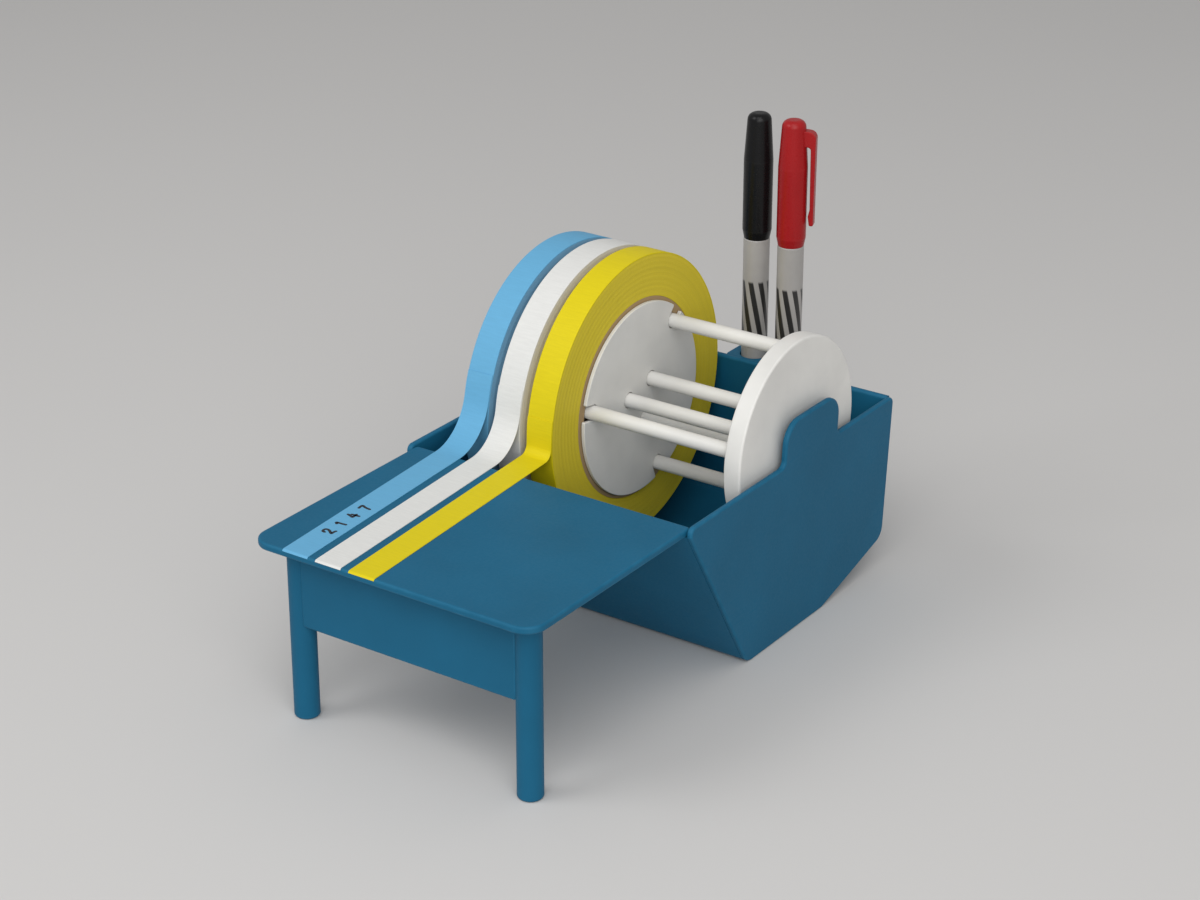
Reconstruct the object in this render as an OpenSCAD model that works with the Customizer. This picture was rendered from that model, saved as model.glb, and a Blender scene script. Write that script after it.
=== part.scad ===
// Counter-top label tape dispenser. Three tape rolls turn on a lift-out cage of rods
// that hangs in an open bin. The tapes run forward over a writing top on two round legs,
// and two markers stand in a holder behind the bin. Front faces -Y, rods lie along X.

/* [Tape rolls] */
// Outside diameter of a full roll
roll_d = 120; // [100:1:140]
// Width of the tape
tape_w = 12; // [9:0.1:16]
// Bore of the roll cores
core_bore = 76.2; // [68:0.1:77]
// Wall of the roll cores
core_wall = 4.1; // [2.5:0.1:5]
// Radial play of the cores on the rods
core_play = 0.3; // [0.2:0.05:0.8]
// Space between neighbouring rolls
roll_gap = 3.5; // [0.5:0.1:6]
// Space between the left end plate and the first roll
roll_start = 0.4; // [0.2:0.1:5]

/* [Tape tails] */
// Thickness of the laid-out tape
tail_t = 0.3; // [0.2:0.05:0.6]
// Turn of the tapes in plan, away from square
tail_turn = 3.8; // [0:0.1:5]
// Bend radius where the blue tape climbs to its roll
blue_bend_r = 22; // [3:1:30]
// Bend radius where the white tape climbs to its roll
white_bend_r = 18; // [3:1:30]
// Bend radius where the yellow tape climbs to its roll
yellow_bend_r = 4; // [3:1:30]
// Straight climb of each tape above its bend
tail_climb = 3; // [1:0.5:8]
// Distance from the front edge to the cut ends of the tapes
tail_setback = 1; // [0.5:0.5:10]
// Gap between a roll and the tape that leaves it
tail_gap = 0.3; // [0.2:0.05:0.6]

/* [Writing top] */
// Width of the writing top
top_w = 128.8; // [120:0.1:170]
// Depth of the writing top, from the front edge to the bin
top_d = 100.5; // [75:0.5:140]
// Thickness of the writing top
top_t = 3; // [2:0.1:6]
// Radius of the two front corners
top_corner_r = 8.5; // [3:0.5:16]

/* [Legs and apron] */
// Diameter of the legs
leg_d = 10; // [8:0.5:14]
// Overhang of the top beyond a leg, at the side
leg_side_lip = 7; // [3:0.5:15]
// Overhang of the top beyond a leg, at the front
leg_front_lip = 9.5; // [3:0.5:20]
// Rounding at the foot of a leg
leg_round = 1.2; // [0.5:0.1:3]
// Height of the apron below the top
apron_h = 34; // [15:1:55]
// Thickness of the apron
apron_t = 3.5; // [2:0.5:6]
// Distance from the front of the legs back to the apron
apron_set = 1; // [0:0.5:3]

/* [Bin] */
// Thickness of the folded bin sheet
sheet_t = 3; // [2:0.1:4]
// Inside radius of the folds
fold_r = 3.5; // [2:0.5:8]
// Thickness of the side panels
panel_t = 2.5; // [2:0.1:5]
// Gap between the writing top and the side panels
panel_fit = 0.2; // [0.1:0.05:0.5]
// Outward lean of a side panel over its height
wall_flare = 3.2; // [0:0.1:5]
// Rise of the bin walls above the writing top
wall_rise = 1; // [0:0.1:3]
// Height of the spindle axis above the writing top
axle_rise = 4.8; // [3:0.1:12]
// Rounding of the back top corners of the side panels
panel_round = 3; // [1:0.5:6]
// Free space between the roll and the bin floor
roll_floor_gap = 18.8; // [10:0.1:40]
// Free space between the writing top and the roll
roll_front_gap = 19.8; // [12:0.1:35]
// Free space between the roll and the back wall
roll_back_gap = 5.2; // [1.5:0.1:20]
// Length of the flat floor in front of the spindle axis
floor_fore = 34.9; // [25:0.1:50]
// Length of the flat floor behind the spindle axis
floor_aft = 20.5; // [10:0.1:35]
// Rise of the sloping floor at the back wall
rear_rise = 13; // [6:1:20]
// Width of the humps that stand over the bearings
hump_w = 40; // [32:0.5:56]
// Height of a hump above the spindle axis
hump_h = 14.2; // [13:0.1:20]
// Radius of a hump's upper corners
hump_r = 9.5; // [4:0.5:14]
// Distance from the spindle axis back to a hump's middle
hump_shift = 3; // [0:0.5:6]
// Hollow rounding where a hump meets the wall
hump_fillet = 2.5; // [1:0.5:4]

/* [Spindle] */
// Diameter of the end plates
plate_d = 85; // [84:0.5:100]
// Thickness of the left end plate
left_plate_t = 5.5; // [4.5:0.1:9]
// Thickness of the right end plate
right_plate_t = 7.5; // [4.5:0.1:9]
// Rounding of the end plate rims
plate_round = 0.8; // [0.3:0.1:1.4]
// Diameter of the axle stubs
axle_d = 12; // [8:0.5:16]
// Clearance of the axle stubs in their slots
axle_play = 0.3; // [0.2:0.05:0.8]
// Thickness of the bearing pads at the axis
bearing_t = 2.2; // [2:0.1:6]
// Radius of the bearing pads
bearing_r = 12.5; // [11:0.5:13]
// Depth of a bearing pad below the axis
bearing_drop = 13; // [11:1:20]
// Side play of the spindle between the bearing pads
bearing_gap = 0.5; // [0.3:0.1:2]
// Diameter of the rods
rod_d = 6; // [4:0.1:7]
// Depth of the rod ends in the plates
rod_seat = 4; // [2:0.1:4.2]
// Clearance of pieces that are glued into holes
glue_fit = 0.05; // [0.02:0.01:0.1]
// Turn of the outer ring of rods
outer_turn = 50; // [0:1:119]
// Turn of the inner ring of rods
inner_turn = 45; // [0:1:119]
// Bore of the small cores that the inner rods take
small_bore = 25.4; // [22:0.1:30]
// Diameter of the keeper disc
keeper_d = 81; // [80:0.5:100]
// Thickness of the keeper disc
keeper_t = 1.6; // [1:0.1:4]
// Clearance of the keeper disc on the rods
keeper_play = 0.3; // [0.2:0.05:0.8]
// Gap between the keeper disc and what it meets
keeper_gap = 0.3; // [0.2:0.05:1]

/* [Marker holder] */
// Distance from the top of the back wall down to the holder
holder_drop = 0.4; // [0:0.1:15]
// Height of the holder
holder_h = 30; // [28:1:50]
// Depth of the marker holes
hole_depth = 23.6; // [10:0.1:26]
// Material between the back wall and the marker holes
holder_inset = 1; // [0.5:0.1:8]
// Wall round the other sides of the marker holes
holder_wall = 4; // [2.5:0.5:8]
// Distance between the two markers
marker_pitch = 16.5; // [15:0.5:25]
// Shift of the holder to the right of centre
holder_shift = 3.7; // [-20:0.1:20]
// Clearance of a marker in its hole
marker_play = 0.4; // [0.2:0.1:1]

/* [Markers] */
// Diameter of a marker barrel
barrel_d = 11; // [9:0.1:13]
// Length of a barrel below its cap
barrel_l = 76; // [60:1:100]
// Rounding at the foot of a barrel
barrel_round = 1; // [0.5:0.1:2]
// Length of a cap
cap_l = 54; // [48:1:70]
// Length of the straight part of a cap
cap_straight_l = 34; // [25:1:38]
// Drawing-in of the cap's closed end, on each side
crown_step = 1.3; // [0.5:0.1:2]
// Rounding of the cap's closed end
crown_r = 3; // [1:0.1:3.5]
// Step from the barrel out to the cap
cap_step = 0.6; // [0.3:0.1:1.5]
// Wall of a cap
cap_wall = 1.3; // [1:0.1:1.8]
// Clearance of a cap on the marker's neck
cap_play = 0.3; // [0.2:0.05:0.6]
// Length of the straight neck under the cap
neck_l = 12; // [8:1:16]
// Length of the tapered nose above the neck
nose_l = 11; // [6:1:14]
// Diameter of the nose tip
nose_d = 5; // [4:0.1:6]
// Diameter of the nib
nib_d = 3; // [2:0.1:3.4]
// Length of the nib past the nose
nib_l = 5; // [3:0.5:7]
// Depth of the nib in the nose
nib_seat = 6; // [3:0.5:8]
// Free room in the cap above the nib
nib_room = 2; // [1:0.5:4]
// Width of a cap clip
clip_w = 4.4; // [3:0.1:6]
// Thickness of a cap clip
clip_t = 1.8; // [1:0.1:2.5]
// Gap between the clip and the cap
clip_gap = 1.6; // [0.6:0.1:2.5]
// Length of a cap clip
clip_l = 42; // [25:1:45]
// Distance from the closed end of a cap down to its clip
clip_drop = 4.5; // [4:0.5:8]
// Height of the bridge that carries a clip
clip_bridge = 6; // [3:0.5:10]
// Turn of the black cap's clip, from the right towards the back
black_clip_turn = 110; // [0:5:180]
// Turn of the red cap's clip, from the right towards the back
red_clip_turn = 20; // [-90:5:90]

/* [Hidden] */
$fn = 96;

// Steps along a drawn arc
arc_steps = 8;
// Extra length that carries a cut clear of a face
cut = 1;

body_blue = "#1d6a96";
spindle_white = "#ecebe6";
tape_colours = ["#6cb8e2", "#f1efe9", "#f2df1c"];
core_tan = "#a58a62";
barrel_grey = "#b9bab8";
cap_colours = ["#17171a", "#cf2027"];
nib_colours = ["#0e0e10", "#8e1218"];

// Heights that follow from the largest roll
axle_z = roll_d/2 + roll_floor_gap + sheet_t;
top_h = axle_z - axle_rise;
top_under = top_h - top_t;
wall_h = top_h + wall_rise;
hump_top = axle_z + hump_h;

// Places along Y, from the front edge back
hole_d = barrel_d + 2*marker_play;
holder_depth = holder_inset + hole_d + holder_wall;
axle_back = top_d + roll_front_gap + roll_d/2;
back_in = axle_back + roll_d/2 + roll_back_gap;
overall_l = back_in + sheet_t + holder_depth;
front_y = -overall_l/2;
top_back_y = front_y + top_d;
axle_y = front_y + axle_back;
back_in_y = front_y + back_in;
back_out_y = back_in_y + sheet_t;

// Places along X: the side panels lean out, so their distance from the middle grows with height
half_w = top_w/2;
function wall_x(z) = half_w + panel_fit + (z - top_h)*wall_flare/wall_h;
leg_x = half_w - leg_side_lip - leg_d/2;
leg_y = front_y + leg_front_lip + leg_d/2;
bearing_x = wall_x(axle_z) - bearing_t;
plate_out = bearing_x - bearing_gap;
function plate_in(side) = plate_out - (side < 0 ? left_plate_t : right_plate_t);
stub_end = wall_x(axle_z - axle_d/2) - axle_play;
function roll_x(i) = -plate_in(-1) + roll_start + tape_w/2 + i*(tape_w + roll_gap);
keeper_x = roll_x(2) + tape_w/2 + keeper_gap;
tail_bends = [blue_bend_r, white_bend_r, yellow_bend_r];

// Rod rings that just fill the large and the small cores
outer_ring_r = core_bore/2 - core_play - rod_d/2;
inner_ring_r = small_bore/2 - core_play - rod_d/2;
rods_per_ring = 3;

// Heights of a standing marker
holder_top = wall_h - holder_drop;
marker_z = holder_top - hole_depth;
cap_d = barrel_d + 2*cap_step;
neck_d = cap_d - 2*cap_wall - 2*cap_play;
nose_top = barrel_l + neck_l + nose_l;
cap_z = marker_z + barrel_l;
marker_y = back_out_y + holder_inset + hole_d/2;
function marker_x(i) = holder_shift + (i - 0.5)*marker_pitch;

// Points of an arc about a centre, from one angle to another
function arc(c, r, a0, a1) =
  [for (i = [0:arc_steps]) let (a = a0 + (a1 - a0)*i/arc_steps) c + r*[cos(a), sin(a)]];

function reversed(points) = [for (i = [len(points) - 1:-1:0]) points[i]];

// Inside line of the folded sheet in side view, from the writing top down and round to the back
sheet_line = [
  [top_back_y, top_under],
  [axle_y - floor_fore, sheet_t],
  [axle_y + floor_aft, sheet_t],
  [back_in_y, sheet_t + rear_rise],
  [back_in_y, wall_h]
];
folds = [1, 2, 3];
function heading(i) =
  atan2(sheet_line[i + 1][1] - sheet_line[i][1], sheet_line[i + 1][0] - sheet_line[i][0]);
function side_of(a) = [-sin(a), cos(a)];
function fold_centre(i) =
  let (n0 = side_of(heading(i - 1)), n1 = side_of(heading(i)))
  sheet_line[i] + fold_r*(n0 + n1)/(1 + n0*n1);
// Points of all the folds at a distance from their centres
function fold_points(r) =
  [for (i = folds) each arc(fold_centre(i), r, heading(i - 1) - 90, heading(i) - 90)];
front_cut = sheet_t/sin(-heading(0));
sheet_front = sheet_line[0] - [front_cut, 0];
sheet_back = sheet_line[4] + [sheet_t, 0];

// A side-view outline in Y and Z, carried along X from x0
module along_x(x0, length) {
  translate([x0, 0, 0]) rotate([90, 0, 90]) linear_extrude(length) children();
}

// A front-view outline in X and Z, carried along the whole length
module along_y() {
  translate([0, overall_l/2 + cut, 0]) rotate([90, 0, 0]) linear_extrude(overall_l + 2*cut) children();
}

// A round bar along X
module bar_x(x0, length, d) {
  translate([x0, 0, 0]) rotate([0, 90, 0]) cylinder(h = length, d = d);
}

// Children as drawn for the right side, or mirrored to the left
module on_side(side) {
  mirror([side < 0 ? 1 : 0, 0, 0]) children();
}

// Leaning slab between two distances from the inner face of the right side panel
module wall_slab(d0, d1) {
  z0 = -cut;
  z1 = hump_top + cut;
  along_y() polygon([
    [wall_x(z0) + d0, z0], [wall_x(z0) + d1, z0], [wall_x(z1) + d1, z1], [wall_x(z1) + d0, z1]
  ]);
}

// Children moved to one rod of a ring about the spindle axis
module at_rod(ring_r, turn, i) {
  a = turn + i*360/rods_per_ring;
  translate([0, axle_y + ring_r*cos(a), axle_z + ring_r*sin(a)]) children();
}

// Writing top with rounded front corners
module writing_top() {
  color(body_blue)
  translate([0, front_y, top_under]) {
    translate([-half_w, top_corner_r, 0]) cube([top_w, top_d - top_corner_r, top_t]);
    translate([top_corner_r - half_w, 0, 0]) cube([top_w - 2*top_corner_r, 2*top_corner_r, top_t]);
    for (side = [-1, 1])
      translate([side*(half_w - top_corner_r), top_corner_r, 0]) cylinder(h = top_t, r = top_corner_r);
  }
}

// A round leg with a softened foot, standing under the writing top
module leg(side) {
  color(body_blue)
  translate([side*leg_x, leg_y, 0])
  rotate_extrude()
  polygon(concat(
    [[0, 0]],
    arc([leg_d/2 - leg_round, leg_round], leg_round, -90, 0),
    [[leg_d/2, top_under], [0, top_under]]
  ));
}

// Panel between the legs, hollowed at both ends to fit them
module front_apron() {
  color(body_blue)
  difference() {
    translate([-leg_x, leg_y - leg_d/2 + apron_set, top_under - apron_h])
      cube([2*leg_x, apron_t, apron_h]);
    for (side = [-1, 1])
      translate([side*leg_x, leg_y, top_under - apron_h - cut])
        cylinder(h = apron_h + 2*cut, d = leg_d);
  }
}

// One sheet folded into the front slope, floor, rear slope and back wall, wider at the top
module bin_trough() {
  reach = wall_x(hump_top);
  color(body_blue)
  intersection() {
    along_x(-reach, 2*reach)
    polygon(concat(
      [sheet_line[0]], fold_points(fold_r), [sheet_line[4], sheet_back],
      reversed(fold_points(fold_r + sheet_t)), [sheet_front]
    ));
    along_y() polygon([
      [-wall_x(-cut), -cut], [wall_x(-cut), -cut],
      [wall_x(hump_top), hump_top], [-wall_x(hump_top), hump_top]
    ]);
  }
}

// Leaning side panel with the sheet's outside outline and a rounded hump over the axle
module side_panel(side) {
  reach = wall_x(hump_top + cut) + panel_t + cut;
  nose = wall_h - top_under;
  hump_front = axle_y + hump_shift - hump_w/2;
  hump_back = hump_front + hump_w;
  color(body_blue)
  on_side(side)
  intersection() {
    along_x(0, reach)
    polygon(concat(
      fold_points(fold_r + sheet_t),
      arc([back_out_y - panel_round, wall_h - panel_round], panel_round, 0, 90),
      arc([hump_back + hump_fillet, wall_h + hump_fillet], hump_fillet, 270, 180),
      arc([hump_back - hump_r, hump_top - hump_r], hump_r, 0, 90),
      arc([hump_front + hump_r, hump_top - hump_r], hump_r, 90, 180),
      arc([hump_front - hump_fillet, wall_h + hump_fillet], hump_fillet, 0, -90),
      arc([sheet_front[0] + nose, top_under], nose, 90, 180)
    ));
    wall_slab(0, panel_t);
  }
}

// Pad inside a hump, with a slot that the axle stub drops into from above
module bearing(side) {
  slot_w = axle_d + 2*axle_play;
  reach = wall_x(hump_top) - bearing_x + cut;
  color(body_blue)
  on_side(side)
  intersection() {
    translate([bearing_x, axle_y, axle_z])
    difference() {
      union() {
        bar_x(0, reach, 2*bearing_r);
        translate([0, -bearing_r, -bearing_drop]) cube([reach, 2*bearing_r, bearing_drop]);
      }
      bar_x(-cut, reach + 2*cut, slot_w);
      translate([-cut, -slot_w/2, 0]) cube([reach + 2*cut, slot_w, bearing_r + cut]);
    }
    wall_slab(-wall_x(0), 0);
  }
}

// A pulled-out tape: flat on the writing top, then bent up to stand in front of its roll
module tail(i) {
  peel_y = axle_y - roll_d/2 - tail_gap - tape_w/2*sin(tail_turn);
  run = (peel_y - front_y - tail_setback)/cos(tail_turn);
  r = tail_bends[i];
  centre = [-r, top_h + r];
  color(tape_colours[i])
  translate([roll_x(i), peel_y, 0])
  rotate([0, 0, tail_turn])
  along_x(-tape_w/2, tape_w)
  polygon(concat(
    [[-run, top_h]], arc(centre, r, -90, 0), [[0, top_h + r + tail_climb]],
    [[-tail_t, top_h + r + tail_climb]], arc(centre, r - tail_t, 0, -90),
    [[-run, top_h + tail_t]]
  ));
}

// Block on the back wall with a blind hole for each marker
module marker_holder() {
  color(body_blue)
  difference() {
    translate([marker_x(0) - hole_d/2 - holder_wall, back_out_y, holder_top - holder_h])
      cube([marker_pitch + hole_d + 2*holder_wall, holder_depth, holder_h]);
    for (i = [0, 1])
      translate([marker_x(i), marker_y, marker_z]) cylinder(h = hole_depth + cut, d = hole_d);
  }
}

// End plate with a rounded rim, rod sockets on its inner face and an axle stub outside
module end_plate(side) {
  socket_d = rod_d + 2*glue_fit;
  color(spindle_white)
  on_side(side)
  difference() {
    translate([0, axle_y, axle_z])
    rotate([0, 90, 0])
    rotate_extrude()
    polygon(concat(
      [[0, plate_in(side)]],
      arc([plate_d/2 - plate_round, plate_in(side) + plate_round], plate_round, -90, 0),
      arc([plate_d/2 - plate_round, plate_out - plate_round], plate_round, 0, 90),
      [[axle_d/2, plate_out], [axle_d/2, stub_end], [0, stub_end]]
    ));
    for (i = [0:rods_per_ring - 1]) {
      at_rod(outer_ring_r, outer_turn, i) bar_x(plate_in(side) - cut, rod_seat + cut, socket_d);
      at_rod(inner_ring_r, inner_turn, i) bar_x(plate_in(side) - cut, rod_seat + cut, socket_d);
    }
  }
}

// One rod between the end plates
module rod(ring_r, turn, i) {
  length = plate_in(-1) + plate_in(1) + 2*rod_seat;
  color(spindle_white)
  at_rod(ring_r, turn, i) bar_x(-plate_in(-1) - rod_seat, length, rod_d);
}

// Disc that slides on all six rods: open notches at the rim, holes near the middle
module keeper_disc() {
  way = rod_d + 2*keeper_play;
  color(spindle_white)
  difference() {
    translate([0, axle_y, axle_z]) bar_x(keeper_x, keeper_t, keeper_d);
    for (i = [0:rods_per_ring - 1]) {
      at_rod(inner_ring_r, inner_turn, i) bar_x(keeper_x - cut, keeper_t + 2*cut, way);
      at_rod(outer_ring_r, outer_turn, i)
        rotate([outer_turn + i*360/rods_per_ring, 0, 0])
        along_x(keeper_x - cut, keeper_t + 2*cut)
        polygon(concat(arc([0, 0], way/2, 90, 270), [[keeper_d/2, -way/2], [keeper_d/2, way/2]]));
    }
  }
}

// Ring of tape width about the spindle axis at the place of one roll
module roll_ring(i, d_in, d_out) {
  translate([roll_x(i) - tape_w/2, axle_y, axle_z])
  difference() {
    bar_x(0, tape_w, d_out);
    bar_x(-cut, tape_w + 2*cut, d_in);
  }
}

// Board tube in the middle of a roll
module core(i) {
  color(core_tan) roll_ring(i, core_bore, core_bore + 2*core_wall);
}

// Tape wound on a core
module wound_tape(i) {
  color(tape_colours[i]) roll_ring(i, core_bore + 2*core_wall, roll_d);
}

// Marker barrel with a straight neck and a tapered nose that holds the nib
module barrel(i) {
  color(barrel_grey)
  translate([marker_x(i), marker_y, marker_z])
  difference() {
    rotate_extrude()
    polygon(concat(
      [[0, 0]],
      arc([barrel_d/2 - barrel_round, barrel_round], barrel_round, -90, 0),
      [
        [barrel_d/2, barrel_l], [neck_d/2, barrel_l], [neck_d/2, barrel_l + neck_l],
        [nose_d/2, nose_top], [0, nose_top]
      ]
    ));
    translate([0, 0, nose_top - nib_seat]) cylinder(h = nib_seat + cut, d = nib_d + 2*glue_fit);
  }
}

// Felt nib set in the nose, with a round tip
module nib(i) {
  color(nib_colours[i])
  translate([marker_x(i), marker_y, marker_z + nose_top - nib_seat]) {
    cylinder(h = nib_seat + nib_l - nib_d/2, d = nib_d);
    translate([0, 0, nib_seat + nib_l - nib_d/2]) sphere(d = nib_d);
  }
}

// Cap with a drawn-in closed end, and a clip turned to one side
module cap(i, clip_turn) {
  crown_d = cap_d - 2*crown_step;
  bore_d = cap_d - 2*cap_wall;
  bore_l = neck_l + nose_l + nib_l + nib_room;
  clip_top = cap_l - clip_drop;
  color(cap_colours[i])
  translate([marker_x(i), marker_y, cap_z]) {
    difference() {
      rotate_extrude()
      polygon(concat(
        [[0, 0], [cap_d/2, 0], [cap_d/2, cap_straight_l]],
        arc([crown_d/2 - crown_r, cap_l - crown_r], crown_r, 0, 90),
        [[0, cap_l]]
      ));
      translate([0, 0, -cut]) cylinder(h = bore_l + cut, d = bore_d);
    }
    rotate([0, 0, clip_turn]) {
      translate([cap_d/2 + clip_gap, -clip_w/2, clip_top - clip_l]) cube([clip_t, clip_w, clip_l]);
      translate([crown_d/4, -clip_w/2, clip_top - clip_bridge])
        cube([cap_d/2 + clip_gap + clip_t/2 - crown_d/4, clip_w, clip_bridge]);
    }
  }
}

writing_top();
front_apron();
leg(-1);  // left_leg
leg(1);  // right_leg
bin_trough();
side_panel(-1);  // left_side_panel
side_panel(1);  // right_side_panel
bearing(-1);  // left_bearing
bearing(1);  // right_bearing
tail(0);  // blue_tail
tail(1);  // white_tail
tail(2);  // yellow_tail
marker_holder();
end_plate(-1);  // left_end_plate
end_plate(1);  // right_end_plate
rod(outer_ring_r, outer_turn, 0);  // outer_rod_1
rod(outer_ring_r, outer_turn, 1);  // outer_rod_2
rod(outer_ring_r, outer_turn, 2);  // outer_rod_3
rod(inner_ring_r, inner_turn, 0);  // inner_rod_1
rod(inner_ring_r, inner_turn, 1);  // inner_rod_2
rod(inner_ring_r, inner_turn, 2);  // inner_rod_3
keeper_disc();
core(0);  // blue_core
core(1);  // white_core
core(2);  // yellow_core
wound_tape(0);  // blue_roll
wound_tape(1);  // white_roll
wound_tape(2);  // yellow_roll
barrel(0);  // black_barrel
barrel(1);  // red_barrel
nib(0);  // black_nib
nib(1);  // red_nib
cap(0, black_clip_turn);  // black_cap
cap(1, red_clip_turn);  // red_cap
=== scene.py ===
"""Surfaces, finishes and stage of a three-roll label tape dispenser, built around its packed solids."""

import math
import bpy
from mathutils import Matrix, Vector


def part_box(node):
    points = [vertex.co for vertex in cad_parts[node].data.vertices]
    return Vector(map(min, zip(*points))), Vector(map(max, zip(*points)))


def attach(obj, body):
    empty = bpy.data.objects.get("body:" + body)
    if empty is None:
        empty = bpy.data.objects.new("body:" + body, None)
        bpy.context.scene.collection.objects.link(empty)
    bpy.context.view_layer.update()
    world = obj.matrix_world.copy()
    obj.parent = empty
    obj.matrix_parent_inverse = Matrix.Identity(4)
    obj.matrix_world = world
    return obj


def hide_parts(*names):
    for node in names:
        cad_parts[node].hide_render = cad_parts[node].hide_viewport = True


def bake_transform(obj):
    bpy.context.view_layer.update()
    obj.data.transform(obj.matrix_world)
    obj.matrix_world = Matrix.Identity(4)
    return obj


bl_info = {
    "name": "Label tape dispenser",
    "version": (1, 0, 0),
    "blender": (4, 5, 0),
    "location": "3D View > Sidebar > Tape dispenser",
    "description": "Builds the surfaces and finishes of a three-roll label tape dispenser around its solids",
    "category": "Object",
}

import bpy
import numpy as np
from mathutils.geometry import delaunay_2d_cdt

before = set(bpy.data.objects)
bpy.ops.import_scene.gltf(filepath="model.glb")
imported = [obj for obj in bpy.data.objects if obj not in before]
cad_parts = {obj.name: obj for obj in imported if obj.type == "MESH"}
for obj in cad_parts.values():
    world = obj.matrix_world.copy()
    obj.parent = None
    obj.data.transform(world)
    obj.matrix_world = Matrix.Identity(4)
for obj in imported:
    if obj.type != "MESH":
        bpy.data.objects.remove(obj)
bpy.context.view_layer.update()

MM = 0.001
SIDES = ("left", "right")
TAPES = ("blue", "white", "yellow")
INKS = ("black", "red")


def span(node):
    """Lowest and highest corner of a solid, as arrays."""
    low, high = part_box(node)
    return np.array(low), np.array(high)


def middle(node):
    """Middle of a solid's box."""
    return sum(span(node)) / 2


def heights(node):
    """Lowest and highest Z of a solid."""
    low, high = span(node)
    return low[2], high[2]


def half_height(node):
    """Half the height of a solid's box, which is the radius of a disc on the rods' axis."""
    low, high = heights(node)
    return (high - low) / 2


TOP_LOW, TOP_HIGH = span("writing_top")
BIN_HIGH = span("bin_trough")[1]
PANEL_LOW, PANEL_HIGH = span("right_side_panel")
PAD_LOW, PAD_HIGH = span("right_bearing")
AXIS = middle("blue_roll")[1:]
ROLL_R = half_height("blue_roll")
CORE_R = half_height("blue_core")


# Settings


def length(name, description, millimetres):
    """A size in metres, given in millimetres."""
    return bpy.props.FloatProperty(
        name=name, description=description, default=millimetres * MM, min=0, precision=5, unit="LENGTH"
    )


def angle(name, description, degrees):
    """An angle, given in degrees."""
    return bpy.props.FloatProperty(
        name=name, description=description, default=math.radians(degrees), subtype="ANGLE"
    )


def colour(name, description, default):
    """A colour in linear red, green and blue."""
    return bpy.props.FloatVectorProperty(
        name=name, description=description, default=default, size=3, min=0, max=1, subtype="COLOR"
    )


def power(name, description, default):
    """The power of a lamp."""
    return bpy.props.FloatProperty(name=name, description=description, default=default, unit="POWER")


class BodySizes(bpy.types.PropertyGroup):
    """Sizes of the blue body."""

    edge_round: length("Edge rounding", "Rounding of the body's edges", 0.9)
    corner_round: length("Top corners", "Radius of the writing top's front corners", 8.5)
    small_corner: length("Small corners", "Radius of the body's other corners", 1.6)
    sheet: length("Sheet", "Thickness of the folded bin sheet", 3)
    fold: length("Folds", "Inside radius of the bin's folds", 3.5)
    panel: length("Side panels", "Thickness of the side panels", 2.5)
    floor_fore: length("Floor in front", "Flat floor in front of the rod axis", 34.9)
    floor_aft: length("Floor behind", "Flat floor behind the rod axis", 20.5)
    rear_rise: length("Rear rise", "Rise of the sloping floor at the back wall", 13)
    panel_round: length("Panel corner", "Radius of the side panels' back corners", 3)
    nose_round: length("Panel nose", "Radius of the side panels' front corners", 2.8)
    hump_wide: length("Hump", "Width of the humps over the bearings", 40)
    hump_shift: length("Hump shift", "Distance from the rod axis back to a hump's middle", 3)
    hump_round: length("Hump corners", "Radius of a hump's upper corners", 9.5)
    hump_fillet: length("Hump fillet", "Hollow rounding where a hump meets the wall", 2.5)
    slot_r: length("Slot", "Half width of the bearing slots", 6.3)
    foot_round: length("Foot", "Rounding at the feet of the legs", 1.2)
    holder_round: length("Holder corners", "Radius of the holder's upright corners", 2)
    holder_edge: length("Holder edges", "Rounding of the holder's edges and of its holes' rims", 0.35)
    hole_r: length("Marker holes", "Radius of the holes for the markers", 5.9)
    hole_floor: length("Hole floor", "Height of the floor of the marker holes", 54)


class SpindleSizes(bpy.types.PropertyGroup):
    """Sizes of the lift-out cage of rods."""

    rod_r: length("Rods", "Radius of the rods", 3)
    rim_round: length("Rim", "Rounding of the end plates' rims", 0.8)
    stub_r: length("Stub", "Radius of the axle stubs", 6)
    left_plate: length("Left plate", "Thickness of the left end plate", 5.5)
    right_plate: length("Right plate", "Thickness of the right end plate", 7.5)
    keeper_r: length("Keeper", "Radius of the keeper disc", 40.5)
    keeper_round: length("Keeper edge", "Rounding of the keeper disc's edges", 0.3)
    rod_way: length("Rod way", "Half width of the keeper's holes and notches", 3.3)


class TapeSizes(bpy.types.PropertyGroup):
    """Sizes of the wound and the pulled-out tape."""

    thick: length("Tape", "Thickness of the pulled-out tape", 0.22)
    bore_r: length("Bore", "Radius of the cores' bores", 38.1)
    layer_step: length("Layer step", "Unevenness of the windings at the sides", 0.07)
    overhang: angle("Overhang", "How far the cut ends reach round the rounded front edge", 70)
    peel: length("Peel", "Length of tape that leaves the writing top as the spindle is lifted", 14)
    turn: angle("Turn", "Turn of the tapes in plan, away from square", 3.8)
    wrap: angle("Wrap", "Part of a roll that the free tape still covers", 7)
    blue_bend: length("Blue bend", "Bend radius of the blue tape", 22)
    white_bend: length("White bend", "Bend radius of the white tape", 18)
    yellow_bend: length("Yellow bend", "Bend radius of the yellow tape", 4)
    blue_leave: angle("Blue leaves", "Height on the roll at which the blue tape leaves it", 14)
    white_leave: angle("White leaves", "Height on the roll at which the white tape leaves it", 11.5)
    yellow_leave: angle("Yellow leaves", "Height on the roll at which the yellow tape leaves it", 3)
    ink_width: length("Ink line", "Width of the written numerals' strokes", 1.15)
    ink_tall: length("Numerals", "Height of the written numerals", 4.5)
    ink_pitch: length("Numeral pitch", "Distance from one numeral to the next", 7.8)
    ink_start: length("Ink start", "Distance from the front edge to the first numeral", 19.5)


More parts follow.
